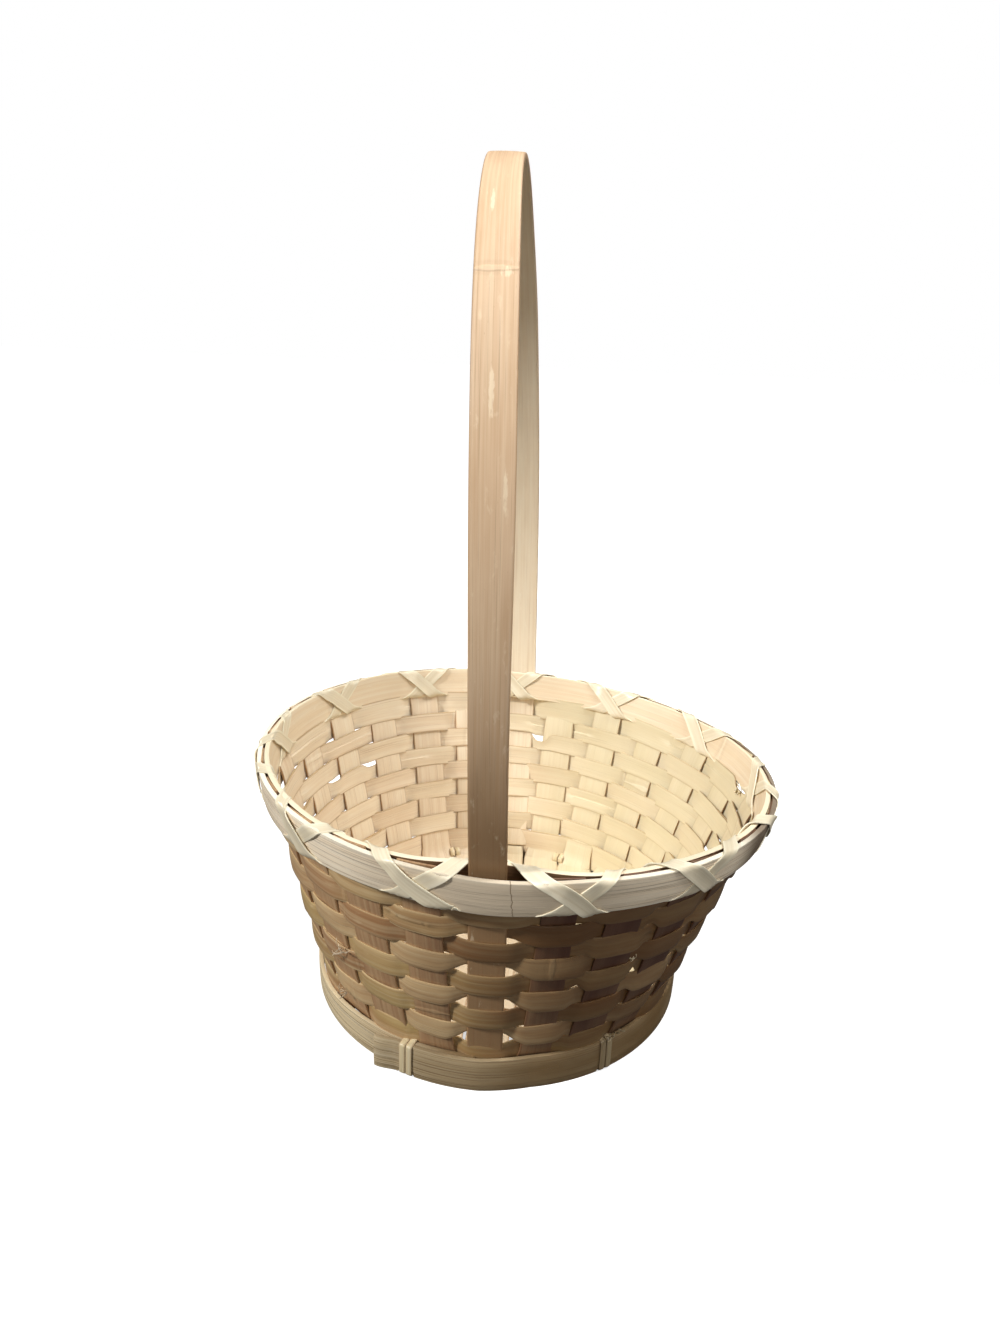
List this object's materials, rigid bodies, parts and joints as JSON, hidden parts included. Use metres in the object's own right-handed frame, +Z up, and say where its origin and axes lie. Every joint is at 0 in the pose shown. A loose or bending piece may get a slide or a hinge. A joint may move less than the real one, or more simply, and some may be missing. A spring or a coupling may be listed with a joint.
{
  "type": "bamboo splint basket with fixed handle",
  "caption": "Round hand-woven bamboo splint basket with a foot ring, a cross-lashed double hoop rim and one tall fixed strap handle, for gathering and carrying farm produce.",
  "frame": {"origin": "on the resting plane, under the middle of the bounding box", "axes": "+Z up; +Y along the plane of the handle, from the near leg to the far leg; +X across it, to the right in the picture"},
  "size_m": [0.32, 0.3376, 0.4812],
  "materials": {
    "handle_bamboo": "smooth split bamboo, warm brown, with long fine grain and worn edges",
    "outer_hoop_bamboo": "weathered split bamboo, grey beige, with dark grain lines",
    "inner_hoop_bamboo": "smooth split bamboo, tan",
    "lashing_bamboo": "glossy thin bamboo strip, pale cream",
    "weaver_bamboo": "thin flat bamboo splint, straw coloured, fibrous",
    "stake_bamboo": "wide bamboo splint, straw coloured, with long grain",
    "foot_ring_bamboo": "weathered split bamboo band, scuffed",
    "binding_bamboo": "thin bamboo strip, pale cream"
  },
  "bodies": {
    "root": {"handle": "handle_bamboo", "rim_hoop_outer": "outer_hoop_bamboo", "rim_hoop_inner": "inner_hoop_bamboo", "rim_lashing_under": "lashing_bamboo", "rim_lashing_over": "lashing_bamboo", "weaver_01": "weaver_bamboo", "weaver_02": "weaver_bamboo", "weaver_03": "weaver_bamboo", "weaver_04": "weaver_bamboo", "weaver_05": "weaver_bamboo", "weaver_06": "weaver_bamboo", "weaver_07": "weaver_bamboo", "weaver_08": "weaver_bamboo", "weaver_09": "weaver_bamboo", "weaver_10": "weaver_bamboo", "stake_lengthwise_1": "stake_bamboo", "stake_lengthwise_2": "stake_bamboo", "stake_lengthwise_3": "stake_bamboo", "stake_lengthwise_4": "stake_bamboo", "stake_lengthwise_5": "stake_bamboo", "stake_lengthwise_6": "stake_bamboo", "stake_lengthwise_7": "stake_bamboo", "stake_crosswise_1": "stake_bamboo", "stake_crosswise_2": "stake_bamboo", "stake_crosswise_3": "stake_bamboo", "stake_crosswise_4": "stake_bamboo", "stake_crosswise_5": "stake_bamboo", "foot_ring": "foot_ring_bamboo", "foot_binding_1_wrap_1": "binding_bamboo", "foot_binding_1_wrap_2": "binding_bamboo", "foot_binding_2_wrap_1": "binding_bamboo", "foot_binding_2_wrap_2": "binding_bamboo", "foot_binding_3_wrap_1": "binding_bamboo", "foot_binding_3_wrap_2": "binding_bamboo", "foot_binding_4_wrap_1": "binding_bamboo", "foot_binding_4_wrap_2": "binding_bamboo"}
  },
  "joints": []
}
